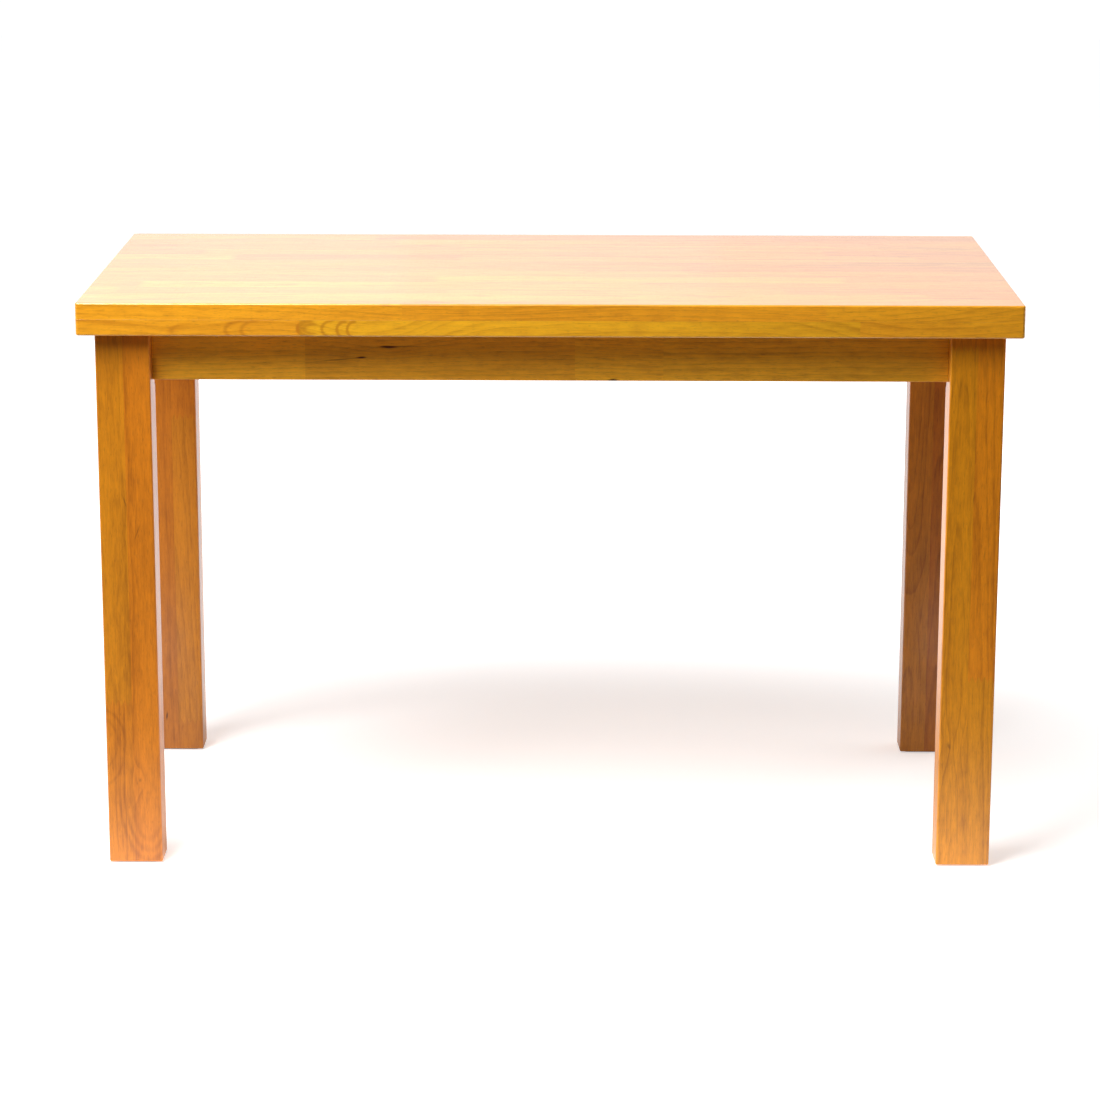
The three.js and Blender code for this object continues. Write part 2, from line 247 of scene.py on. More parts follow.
def raise_skin(shader, height, strength, relief):
    """Shades the skin as if it stood out by `relief` where the height is 1."""
    bump = height.tree.nodes.new("ShaderNodeBump")
    bump.inputs["Strength"].default_value = strength
    bump.inputs["Distance"].default_value = relief
    height.tree.links.new(height.socket, bump.inputs["Height"])
    height.tree.links.new(bump.outputs[0], shader.inputs["Normal"])


def as_vector(x, y, z):
    """Three fields, or fields and numbers, as one vector field."""
    tree = next(part.tree for part in (x, y, z) if isinstance(part, Field))
    return Field(tree, None).fed(tree.nodes.new("ShaderNodeCombineXYZ"), x, y, z)


def clouds(x, y, z, detail=1.0):
    """Cloudy values from 0 to 1, about one cloud to each unit of x, y and z."""
    place = as_vector(x, y, z)
    node = place.tree.nodes.new("ShaderNodeTexNoise")
    node.inputs["Scale"].default_value = 1.0
    node.inputs["Detail"].default_value = detail
    return place.fed(node, place)


def dice(x, y, z):
    """Three random values from 0 to 1, the same wherever x, y and z are the same."""
    place = as_vector(x, y, z)
    node = place.tree.nodes.new("ShaderNodeTexWhiteNoise")
    place.fed(node, place)
    parts = place.tree.nodes.new("ShaderNodeSeparateXYZ")
    place.tree.links.new(node.outputs["Color"], parts.inputs[0])
    return [Field(place.tree, output) for output in parts.outputs]


def blended(share, first, second, blend="MIX"):
    """Colour `first` where share is 0 and `second` where it is 1, or the two blended so."""
    node = share.tree.nodes.new("ShaderNodeMix")
    node.data_type = "RGBA"
    node.blend_type = blend
    for target, value in zip((node.inputs[0], node.inputs[6], node.inputs[7]), (share, first, second)):
        if isinstance(value, Field):
            share.tree.links.new(value.socket, target)
        else:
            target.default_value = (*value, 1)
    return Field(share.tree, node.outputs[2])


RING_SPACING = 6.5 * MM
RING_STRAY = 2.6  # how unevenly the rings are spaced, in rings
LATE_WOOD_END = (0.88, 1.0)  # the last share of a ring, over which its dark late wood ends
WAVE_HEIGHT = 5 * MM
HEART_SPREAD = 70 * MM
HEART_NEAREST = 14 * MM
HEART_DEEPER = 45 * MM
HEART_WANDER = 22 * MM
HEART_SLOPE = 0.09
TREES_APART = 9  # sets the noise of two lengths well apart
FAR = 5.0  # puts a joint of one stave out of reach on the staves beside it

# How many of each kind of figure lie in a metre, along the grain and across it.
WANDERS_PER_METRE = 2.2
WAVES_PER_METRE = (9, 60)
CLOUDS_PER_METRE = (3, 38)
SILK_PER_METRE = (40, 150)
FIBRES_PER_METRE = (40, 560)
PORES_PER_METRE = (150, 1900)
FLECKS_PER_METRE = (75, 620)
SHEEN_PER_METRE = (8, 14)
RING_PLACES_PER_METRE = 75

# How dark the plain wood is between its two stains, and how much each figure adds to that.
PLAIN_DARKNESS = 0.34
LATE_DARKNESS, CLOUD_DARKNESS, FIBRE_DARKNESS, SILK_DARKNESS = 0.32, 0.65, 0.62, 0.5
PORE_DARKNESS, FLECK_DARKNESS, END_DARKNESS, WORN_PALENESS = 0.22, 0.20, 0.35, 0.25

FINGERS = (12 * MM, 3 * MM)  # how long and how wide the fingers of a joint are
WOOD_RELIEF = 0.12 * MM
ARCH_LINE = 1.7 * MM
ARCH_FADE = (-0.2, 0.5)
MARK_DEPTH = 3 * MM
PORE_COLOUR = (0.085, 0.026, 0.005)
HONEY_PALE = (0.98, 0.460, 0.026)
HONEY_DARK = (0.54, 0.225, 0.013)


def rubberwood(
    name,
    grain,
    seed,
    pale=HONEY_PALE,
    dark=HONEY_DARK,
    stave=(1.0, 1.0),
    origin=(0.0, 0.0),
    lengths=(0.3, 0.6),
    finger=(0.0, 4 * MM),
    joints=None,
    marks=(),
    face=None,
    front=0.0,
    tone_spread=0.28,
    hue_spread=0.18,
    lacquer=1.0,
):
    """Glued-up rubberwood under lacquer. Everything is worked out in the solid, from the place.

    Staves: the board is cut into a grid of staves across the grain, each jointed end to end,
    with a joint that zigzags by finger[0]. The joints come at random lengths, or the first
    stave alone has one at each of `joints`. Dice give each length its tone, hue and place in
    the tree.
    Rings: the distance to the heart of the tree, which wanders and slopes along the grain, is
    divided into growth rings that darken outwards, so a face shows lines or arches and an end
    shows arcs. Fibres, pores and clouds of tone are noise drawn out along the grain.
    Marks: knots, streaks and flecks are dark bells round a place on the front face. An arch is
    a line of darker stain round half an ellipse, and a swirl bends the rings round its place.
    Each has its place along the grain and along axis `face`, its half sizes that way, a tilt
    and a strength, and they all fade with the depth behind `front`.
    """
    material, tree, shader, axes = new_material(name)
    u, v, w = (axes[(grain + k) % 3] for k in range(3))

    row = ((v - origin[0]) / stave[0]).floor()
    layer = ((w - origin[1]) / stave[1]).floor()
    start, pace, slip = dice(row + seed, layer - seed, 0.5 * seed)
    fingers = (v + slip * finger[1]).zigzag(finger[1]) * finger[0]
    if joints is None:
        board = ((u + fingers + start) / (lengths[0] + (lengths[1] - lengths[0]) * pace)).floor()
    else:
        reached = u + fingers - (row + layer) * FAR
        board = sum((reached.above(joint) for joint in joints), start * 0)
    tone, hue, _ = dice(board + 0.5, row * 3 + seed, layer * 5 + 1.5)
    side, depth, slope = dice(board + 7.5, row * 3 + seed, layer * 5 - 2.5)
    tree_tone, tree_hue = tone * TREES_APART, hue * TREES_APART

    def grained(per_metre, detail, forward=0.0, aside=0.0):
        """Noise drawn out along the grain, and shifted along it or across it."""
        along, across = per_metre
        return clouds(u * along + forward, v * across + aside, w * across, detail)

    wander = (clouds(u * WANDERS_PER_METRE + seed, tree_tone, tree_hue, 2) - 0.5) * HEART_WANDER
    local_v = v - origin[0] - (row + 0.5) * stave[0] if stave[0] < 1 else v - origin[0]
    local_w = w - origin[1] - (layer + 0.5) * stave[1] if stave[1] < 1 else w - origin[1]
    heart_v = local_v + (side - 0.5) * HEART_SPREAD + wander
    heart_w = local_w + HEART_NEAREST + depth * HEART_DEEPER + u * (slope - 0.5) * HEART_SLOPE
    radius = heart_v.reach(heart_w) + (grained(WAVES_PER_METRE, 2) - 0.5) * WAVE_HEIGHT
    spots, bends, arcs = [], [], []
    for kind, along, across, length, width, tilt, strength in marks:
        behind = axes[3 - grain - face] - front
        strength = (1 - behind.step(MARK_DEPTH, 3 * MARK_DEPTH)) * strength
        du = (u - along) / length
        dt = (axes[face] - across - (u - along) * tilt) / width
        if kind == "swirl":
            bends.append((du.reach(dt) * 0.5).bell() * strength)
        elif kind == "arch":
            off = (du.reach(dt) - 1) * (width / ARCH_LINE)
            arcs.append(off.bell() * (1 - du.step(*ARCH_FADE)) * strength)
        else:
            spots.append(du.reach(dt).bell() * strength)
    radius = sum(bends, radius)
    stray = clouds(radius * RING_PLACES_PER_METRE, tree_tone, tree_hue, 1) - 0.5
    ring = radius / RING_SPACING + stray * RING_STRAY
    ring = ring - ring.floor()
    clouded = grained(CLOUDS_PER_METRE, 2, forward=seed)
    late = ring.power(3) * (1 - ring.step(*LATE_WOOD_END)) * (0.35 + clouded * 1.3)
    silk = grained(SILK_PER_METRE, 2, forward=seed)
    fibre = grained(FIBRES_PER_METRE, 3, aside=seed)
    pores = grained(PORES_PER_METRE, 0, forward=seed).step(0.62, 0.76)
    fleck = grained(FLECKS_PER_METRE, 0, aside=seed).step(0.68, 0.82)

    # The stain goes from pale to dark with the figure, and each length has a tone and hue of it.
    figure = PLAIN_DARKNESS + late * LATE_DARKNESS + (clouded - 0.5) * CLOUD_DARKNESS
    figure += (fibre - 0.5) * FIBRE_DARKNESS + (silk - 0.5) * SILK_DARKNESS
    figure = sum(arcs, figure)
    colour = blended(figure.step(0, 1), pale, dark)
    bright = 1 - tone_spread / 2 + tone * tone_spread
    stain = as_vector(bright, bright * (1 + (hue - 0.5) * hue_spread), bright)
    colour = blended(hue * 0 + 1, colour, stain, "MULTIPLY")
    colour = blended(pores * PORE_DARKNESS + fleck * FLECK_DARKNESS, colour, PORE_COLOUR)
    if spots:
        colour = blended(sum(spots, hue * 0).step(0, 1), colour, PORE_COLOUR)

    # End grain takes more stain, and an arris that has been sanded through takes less.
    normal = tree.nodes.new("ShaderNodeSeparateXYZ")
    tree.links.new(tree.nodes.new("ShaderNodeNewGeometry").outputs["Normal"], normal.inputs[0])
    end = Field(tree, normal.outputs[grain]).size().step(0.75, 0.98)
    colour = blended(end * END_DARKNESS, colour, dark)
    worn = tree.nodes.new("ShaderNodeAttribute")
    worn.attribute_name = "arris"
    colour = blended(Field(tree, worn.outputs["Fac"]) * WORN_PALENESS, colour, pale)
    tree.links.new(colour.socket, shader.inputs["Base Color"])

    # Pores and soft fibres are rougher and lie a little lower, under an even coat of lacquer.
    rough = 0.30 + fibre * 0.10 + pores * 0.10 + grained(SHEEN_PER_METRE, 2) * 0.06
    tree.links.new(rough.socket, shader.inputs["Roughness"])
    raise_skin(shader, fibre * 0.35 - late * 0.30 - pores * 0.8 - fleck * 0.3, 0.35, WOOD_RELIEF)
    shader.inputs["Coat Weight"].default_value = lacquer
    shader.inputs["Specular IOR Level"].default_value = 0.3 + 0.2 * lacquer
    shader.inputs["Coat Roughness"].default_value = 0.16
    shader.inputs["Coat IOR"].default_value = 1.5
    return material


APRON_JOINTS = (-307 * MM, 38 * MM, 151 * MM)
APRON_MARKS = (
    ("streak", -274 * MM, 670 * MM, 34 * MM, 0.9 * MM, 0.09, 0.55),
    ("streak", -241 * MM, 673.3 * MM, 6 * MM, 1.3 * MM, 0.05, 0.9),
    ("streak", -207 * MM, 687 * MM, 9 * MM, 1.6 * MM, -0.03, 1.0),
    ("streak", -190 * MM, 687.5 * MM, 50 * MM, 0.9 * MM, 0.02, 0.5),
    ("streak", -140 * MM, 694 * MM, 50 * MM, 0.9 * MM, 0.12, 0.3),
    ("swirl", -207 * MM, 687 * MM, 30 * MM, 9 * MM, 0, 12 * MM),
    ("fleck", 81 * MM, 645 * MM, 6 * MM, 1.8 * MM, 0, 1.0),
)

for side, length_axis in (("front", 0), ("rear", 0), ("left", 1), ("right", 1)):
    low, high = (np.array(corner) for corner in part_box(f"apron_{side}"))
    low[length_axis] -= CLOSING
    high[length_axis] += CLOSING
    high[2] += CLOSING
    depth_axis = 1 - length_axis
    clips = [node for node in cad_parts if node.startswith(f"top_clip_{side}")]
    middles = sorted(sum(corner[length_axis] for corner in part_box(clip)) / 2 for clip in clips)
    clip_low, clip_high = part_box(clips[0])
    half_slot = (clip_high - clip_low)[length_axis] / 2 + SLOT_PLAY
    tongue = clip_low[2]
    slot_low, slot_high = tongue - SLOT_ROOM, tongue + CLIP_METAL + SLOT_ROOM
    inward = -np.sign(low[depth_axis] + high[depth_axis])
    inner = high[depth_axis] if inward > 0 else low[depth_axis]
    edges = sorted(m + s * (half_slot + o) for m in middles for s in (-1, 1) for o in (0, STEP_WALL))
    height = high[2] - low[2] - 2 * APRON_EASE
    levels = [slot_low - STEP_WALL, slot_low, slot_high, slot_high + STEP_WALL]
    shares = [(level - low[2] - APRON_EASE) / height for level in levels]
    falling = [1 - share for share in reversed(shares)]
    # Seen along X the section's axes are Y and Z, and along Y they are Z and X.
    if length_axis == 0:
        stops = ((), shares, (), falling)
    else:
        stops = (shares, (), falling, ())
    points = milled_board(low, high, length_axis, [APRON_EASE] * 4, [APRON_END_EASE] * 2, stops, edges)
    wear = arris_wear(points, APRON_EASE)
    near = np.min([np.abs(points[..., length_axis] - m) for m in middles], axis=0)
    in_slot = (near <= half_slot + MERGE) & (points[..., 2] >= slot_low - MERGE)
    in_slot &= (points[..., 2] <= slot_high + MERGE) & (np.abs(points[..., depth_axis] - inner) < MERGE)
    points[..., depth_axis] -= inward * SLOT_DEPTH * in_slot
    wood = rubberwood(
        f"{side} apron wood",
        length_axis,
        {"front": 737, "rear": 11, "left": 17, "right": 23}[side],
        joints=APRON_JOINTS if side == "front" else None,
        marks=APRON_MARKS if side == "front" else (),
        face=2,
        front=low[1],
        origin=(low[(length_axis + 1) % 3], low[(length_axis + 2) % 3]),
        finger=FINGERS,
        lacquer=0.4,
    )
    add_piece(f"{side}_apron_board", points, wood, [f"apron_{side}"], wear=wear)

# ---------------------------------------------------------------- legs
# Each leg is glued up from four lengths of rubberwood, two wide and two deep, so a glue line
# runs down the middle of every face, and some lengths are finger-jointed. The long arrises are
# rounded over, and the inner corner is planed off at the top, where the corner block pulls.

LEG_ROUND = 2.5 * MM
LEG_FOOT_EASE = 1.2 * MM
LEG_HEAD_EASE = 0.3 * MM
LEG_CHAMFER = 7.5 * MM
CHAMFER_TAIL = 10 * MM
LEG_LEVELS = 12
LEFT_STAVE_JOINT = 224 * MM
LEG_FINGERS = (9 * MM, 4 * MM)

LEG_MARKS = {
    "front_left": (
        ("arch", 165 * MM, -586 * MM, 58 * MM, 32 * MM, 0, 0.20),
        ("arch", 165 * MM, -586 * MM, -46 * MM, 32 * MM, 0, 0.20),
        ("arch", 168 * MM, -586 * MM, 38 * MM, 22 * MM, 0, 0.14),
        ("arch", 168 * MM, -586 * MM, -30 * MM, 22 * MM, 0, 0.14),
        ("arch", 104 * MM, -526 * MM, 100 * MM, 38 * MM, 0, 0.22),
        ("arch", 106 * MM, -526 * MM, 88 * MM, 31 * MM, 0, 0.19),
        ("arch", 108 * MM, -526 * MM, 74 * MM, 24 * MM, 0, 0.14),
        ("knot", 114 * MM, -536 * MM, 3.2 * MM, 2.4 * MM, 0, 0.45),
        ("swirl", 114 * MM, -536 * MM, 12 * MM, 6 * MM, 0, 5 * MM),
        ("fleck", 488 * MM, -546 * MM, 9 * MM, 1.3 * MM, -0.3, 0.5),
        ("fleck", 448 * MM, -531 * MM, 11 * MM, 1.0 * MM, 0.35, 0.5),
    ),
    "front_right": (
        ("knot", 165 * MM, 522 * MM, 5 * MM, 2.6 * MM, -0.3, 0.5),
        ("swirl", 163 * MM, 524 * MM, 22 * MM, 10 * MM, 0, 9 * MM),
        ("fleck", 496 * MM, 544 * MM, 7 * MM, 1.0 * MM, 0.1, 0.45),
        ("fleck", 422 * MM, 560 * MM, 9 * MM, 1.2 * MM, 0.1, 0.45),
    ),
    "rear_left": (("knot", 52 * MM, -561 * MM, 6 * MM, 1.3 * MM, 0.1, 1.0),),
    "rear_right": (("swirl", 210 * MM, 512 * MM, 60 * MM, 16 * MM, 0, 14 * MM),),
}
LEG_STAIN = {
    "front_left": ((0.69, 0.232, 0.008), (0.34, 0.100, 0.004)),
    "front_right": ((0.78, 0.262, 0.006), (0.37, 0.108, 0.003)),
    "rear_left": ((0.58, 0.200, 0.011), (0.30, 0.092, 0.006)),
    "rear_right": ((0.55, 0.185, 0.013), (0.25, 0.075, 0.006)),
}
CORNERS = {
    "front_left": (-1, -1),
    "front_right": (1, -1),
    "rear_left": (-1, 1),
    "rear_right": (1, 1),
}
apron_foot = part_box("apron_front")[0][2]

for seed, (corner, (right, back)) in enumerate(CORNERS.items()):
    low, high = (np.array(point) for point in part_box(f"leg_{corner}"))
    low[2] -= CLOSING
    high[2] += CLOSING
    width, depth = high[0] - low[0], high[1] - low[1]
    chamfer_foot = apron_foot - CHAMFER_TAIL
    side_share = (depth - LEG_CHAMFER - LEG_ROUND) / (depth - 2 * LEG_ROUND)
    back_share = (LEG_CHAMFER - LEG_ROUND) / (width - 2 * LEG_ROUND)
    below = np.linspace(low[2] + 2 * LEG_FOOT_EASE, chamfer_foot - STEP_WALL, LEG_LEVELS)
    points = milled_board(
        (0, 0, low[2]),
        (width, depth, high[2]),
        2,
        [LEG_ROUND] * 4,
        [LEG_FOOT_EASE, LEG_HEAD_EASE],
        ((), (side_share,), (back_share,), ()),
        [*below, chamfer_foot],
    )
    wear = arris_wear(points, LEG_ROUND)
    # Above the chamfer's foot, a point too near the inner corner moves back on to the chamfer.
    short = LEG_CHAMFER - (width - points[..., 0]) - (depth - points[..., 1])
    short = np.where(points[..., 2] >= chamfer_foot, np.maximum(short, 0), 0)
    points[..., :2] -= short[..., None] / 2
    points[..., 0] = (low[0] if right < 0 else high[0]) - right * points[..., 0]
    points[..., 1] = (low[1] if back < 0 else high[1]) - back * points[..., 1]
    pale, dark = LEG_STAIN[corner]
    wood = rubberwood(
        f"{corner.replace('_', ' ')} leg wood",
        2,
        1826 + 7 * seed,
        pale,
        dark,
        stave=(width / 2, depth / 2),
        origin=(low[0], low[1]),
        lengths=(0.35, 0.75),
        finger=LEG_FINGERS,
        joints=(LEFT_STAVE_JOINT,) if corner == "front_left" else None,
        marks=LEG_MARKS[corner],
        face=0,
        front=low[1],
        hue_spread=0.24,
        lacquer=0.4,
    )
    add_piece(f"{corner}_leg_post", points, wood, [f"leg_{corner}"], wear=wear)

# ---------------------------------------------------------------- corner blocks
# A block of unfinished rubberwood is mitred into each corner, glued and screwed to the insides
# of both aprons. It takes the pull of the leg's two bolts, and stands a little off the leg.

BLOCK_THICK = 24 * MM
BLOCK_STAND_OFF = 5 * MM
BLOCK_EASE = 0.8 * MM
RAW_PALE = (0.62, 0.43, 0.23)
RAW_DARK = (0.42, 0.26, 0.12)


def off_corner(points, corner):
    """Carries points from a corner's own frame to the table's.

    In the corner's frame +Y runs along the diagonal into the table, from the line where the
    inner faces of the two aprons would meet, and +Z is up. It is a turn and a shift, so it
    never mirrors a thread.
    """
    right, back = CORNERS[corner]
    inward = np.array([-right, -back, 0]) / np.sqrt(2)
    sideways = np.array([inward[1], -inward[0], 0])
    end_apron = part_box("apron_right" if right > 0 else "apron_left")
    long_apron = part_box("apron_rear" if back > 0 else "apron_front")
    meeting = np.array([end_apron[right < 0][0], long_apron[back < 0][1], 0])
    return meeting + points @ np.array([sideways, inward, (0, 0, 1)])


leg_shoulder = (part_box("leg_front_left")[1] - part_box("apron_left")[1])[0]
chamfer_place = (leg_shoulder - LEG_CHAMFER / 2) * np.sqrt(2)
block_outer = chamfer_place + BLOCK_STAND_OFF
block_inner = block_outer + BLOCK_THICK
for seed, corner in enumerate(CORNERS):
    low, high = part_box(f"corner_block_{corner}")
    middle = (block_outer + block_inner) / 2
    points = milled_board(
        (-middle, block_outer, low[2]),
        (middle, block_inner, high[2]),
        2,
        [BLOCK_EASE] * 4,
        [BLOCK_EASE] * 2,
    )
    wear = arris_wear(points, BLOCK_EASE)
    # The ends are mitred: a point's place sideways grows with its distance from the corner.
    points[..., 0] *= (points[..., 1] - TOUCH * np.sqrt(2)) / middle
    wood = rubberwood(
        f"{corner.replace('_', ' ')} block wood",
        0,
        60 + 5 * seed,
        RAW_PALE,
        RAW_DARK,
        hue_spread=0.04,
        lacquer=0.0,
    )
    name = f"{corner}_brace_block"
    add_piece(name, off_corner(points, corner), wood, [f"corner_block_{corner}"], wear=wear)

# ---------------------------------------------------------------- hanger bolts
# Two M8 hanger bolts stand in each leg: a coarse wood thread turned into the leg's corner, and
# a fine thread that passes through the block. They are bright zinc-plated steel.

BOLT_RADIUS = 4 * MM
BOLT_IN_LEG = 32 * MM
BOLT_PROUD = 6 * MM
FINE_PITCH = 1.25 * MM
FINE_DEPTH = 0.65 * MM
COARSE_PITCH = 3.4 * MM
COARSE_DEPTH = 1.1 * MM
THREAD_SIDES = 20
THREAD_RINGS = 6  # to a turn of the thread
BOLT_TAPER = 4 * BOLT_RADIUS
BOLT_POINT = 0.05  # of its radius
WASHER_RADIUS = 12 * MM
WASHER_THICK = 2 * MM
NUT_FLATS = 13 * MM
NUT_THICK = 6.5 * MM
ZINC_PALE = (0.70, 0.71, 0.72)
ZINC_SHADE = (0.62, 0.64, 0.62)
GRIME_COLOUR = (0.30, 0.29, 0.27)
ZINC_CLOUDS_PER_METRE = 260
GRIME_PER_METRE = 900
ZINC_RELIEF = 0.05 * MM


def zinc_plate(name, blue):
    """Zinc plate: a bright metal, clouded with a shade that is bluer by `blue`, and grimy.

    The clouds and the grime are noise in the solid, and they also dull and roughen the skin.
    """
    material, tree, shader, (x, y, z) = new_material(name)
    cloud = clouds(*(axis * ZINC_CLOUDS_PER_METRE for axis in (x, y, z)), 2)
    grime = clouds(*(axis * GRIME_PER_METRE for axis in (x, y, z)), 1).step(0.62, 0.75)
    shade = (*ZINC_SHADE[:2], ZINC_SHADE[2] + blue)
    colour = blended(grime * 0.35, blended(cloud.step(0.35, 0.7), ZINC_PALE, shade), GRIME_COLOUR)
    tree.links.new(colour.socket, shader.inputs["Base Color"])
    tree.links.new((0.24 + cloud * 0.20 + grime * 0.2).socket, shader.inputs["Roughness"])
    raise_skin(shader, cloud + grime * 0.5, 0.2, ZINC_RELIEF)
    shader.inputs["Metallic"].default_value = 1.0
    return material


def hanger_bolt(start, join, end):
    """A rod along Y whose radius dips once a turn, so that the dips run round it as a thread.

    The phase is the distance along the rod in pitches, less the share of a turn, and the dip is
    a triangle wave of it. The coarse end tapers to a point and the fine end has a chamfer.
    """
    coarse = np.arange(start, join, COARSE_PITCH / THREAD_RINGS)
    fine = np.arange(join, end, FINE_PITCH / THREAD_RINGS)
    place = np.concatenate([coarse, fine, [end]])[:, None]
    turn = np.linspace(0, 2 * np.pi, THREAD_SIDES, endpoint=False)[None]
    fine_part = place >= join
    pitch = np.where(fine_part, FINE_PITCH, COARSE_PITCH)
    depth = np.where(fine_part, FINE_DEPTH, COARSE_DEPTH)
    phase = ((place - join) / pitch - turn / (2 * np.pi)) % 1
    radius = BOLT_RADIUS - depth * np.abs(2 * phase - 1)
    tapered = BOLT_RADIUS * np.clip((place - start) / BOLT_TAPER, BOLT_POINT, 1)
    radius = np.minimum(radius, tapered)
    radius = np.minimum(radius, BOLT_RADIUS - FINE_PITCH + (end - place))
    radius = np.concatenate([0 * radius[:1], radius, 0 * radius[:1]])
    place = np.concatenate([place[:1], place, place[-1:]])
    return np.stack([radius * np.cos(turn), place + 0 * turn, radius * np.sin(turn)], axis=-1)


bolt_zinc = zinc_plate("bolt zinc", 0.04)
washer_place = block_inner + TOUCH
nut_place = washer_place + WASHER_THICK + TOUCH
bolt_levels = {}
for level in ("upper", "lower"):
    bolt_levels[level] = sum(point[2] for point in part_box(f"nut_front_left_{level}")) / 2
for corner in CORNERS:
    for level, height in bolt_levels.items():
        points = hanger_bolt(
            chamfer_place - BOLT_IN_LEG,
            chamfer_place + TOUCH,
            nut_place + NUT_THICK + BOLT_PROUD,
        )
        points = off_corner(points + (0, 0, height), corner)
        node = f"hanger_bolt_{corner}_{level}"
        add_piece(f"{corner}_{level}_bolt_thread", points, bolt_zinc, [node])

# ---------------------------------------------------------------- washers and nuts
# A wide flat washer spreads each nut's pull over the block. The washers are stamped, so their
# upper edge is rolled over a little, and the nuts are cold-formed hexagons, chamfered on both
# faces. All are zinc-plated like the bolts.

RING_SIDES = 72
WASHER_ROLL = 0.5 * MM
BORE_PLAY = 0.1 * MM
BORE_CHAMFER = 0.7 * MM
NUT_FACE = 0.97  # the radius of a nut's face, over half its flats
NUT_CHAMFER_SLOPE = np.tan(np.radians(30))
NUT_CHAMFER_REACH = 1.4 * MM
nut_steps = np.linspace(0, NUT_CHAMFER_REACH, 7)


def ring_on_bolt(radii, places):
    """A ring round Y from its section: a radius, which may change with the turn, at each place."""
    turn = np.linspace(0, 2 * np.pi, RING_SIDES, endpoint=False)[None]
    radii = np.broadcast_to(radii, (len(places), RING_SIDES))
    places = np.broadcast_to(np.reshape(places, (-1, 1)), radii.shape)
    return np.stack([radii * np.cos(turn), places, radii * np.sin(turn)], axis=-1)


def flat_washer(start):
    """A flat ring whose outer edge on the nut's side is a quarter-round."""
    bore = BOLT_RADIUS + BORE_PLAY
    turn = np.linspace(0, np.pi / 2, ARC_STEPS)
    rim = WASHER_RADIUS - WASHER_ROLL * (1 - np.cos(turn))
    rolled = start + WASHER_THICK - WASHER_ROLL * (1 - np.sin(turn))
    radii = np.array([bore, WASHER_RADIUS, *rim, bore])
    return ring_on_bolt(radii[:, None], [start, start, *rolled, start + WASHER_THICK])


def hexagon_nut(start):
    """A hexagon cut by two cones.

    The hexagon's radius is half its flats over the cosine of the turn from the middle of the
    nearest flat. Near a face the radius is no more than the cone's, which grows by the depth
    over the tangent of 30 degrees, so that the chamfer leaves curved edges on the flats.
    """
    turn = np.linspace(0, 2 * np.pi, RING_SIDES, endpoint=False)
    half = NUT_FLATS / 2
    hexagon = half / np.cos((turn + np.pi / 6) % (np.pi / 3) - np.pi / 6)
    cone = np.minimum(hexagon, half * NUT_FACE + nut_steps[:, None] / NUT_CHAMFER_SLOPE)
    bore = np.full((1, RING_SIDES), BOLT_RADIUS + BORE_PLAY)
    mouth = bore + BORE_CHAMFER
    radii = np.concatenate([bore, mouth, cone, cone[::-1], mouth, bore])
    places = np.concatenate([
        [BORE_CHAMFER, 0],
        nut_steps,
        NUT_THICK - nut_steps[::-1],
        [NUT_THICK, NUT_THICK - BORE_CHAMFER],
    ])
    return ring_on_bolt(radii, start + places)


nut_zinc = zinc_plate("nut zinc", 0.07)
washer_zinc = zinc_plate("washer zinc", 0.0)
for corner in CORNERS:
    for level, height in bolt_levels.items():
        washer = off_corner(flat_washer(washer_place) + (0, 0, height), corner)
        nut = off_corner(hexagon_nut(nut_place) + (0, 0, height), corner)
        names = f"washer_{corner}_{level}", f"nut_{corner}_{level}"
        add_piece(f"{corner}_{level}_flat_washer", washer, washer_zinc, names[:1], True)
        add_piece(f"{corner}_{level}_hexagon_nut", nut, nut_zinc, names[1:], True)

# ---------------------------------------------------------------- block screws
# Two pan-head wood screws at each end of a block, one above the other, pull it to the apron.
# They are zinc-plated, with a cross recess punched in the head.

SCREW_RADIUS = 2.25 * MM
HEAD_RADIUS = 4.5 * MM
HEAD_HEIGHT = 2.6 * MM
RECESS_DEPTH = 1.7 * MM
RECESS_ARM = 2.5 * MM
RECESS_WIDTH = 1.25 * MM
RECESS_WALL = 0.25 * MM
RECESS_END = 0.6 * MM
HEAD_FALL = 0.45  # of its height, from the middle to the rim
HEAD_RINGS = 22
SCREW_SIDES = 64
BLOCK_SCREW_INSET = 9 * MM
BLOCK_SCREW_LENGTH = 28 * MM
SCREW_PITCH = 1.8 * MM
THREAD_DEPTH = 0.7 * MM
SCREW_RINGS = 4  # to a turn of the thread
SCREW_TIP_SLOPE = 0.5


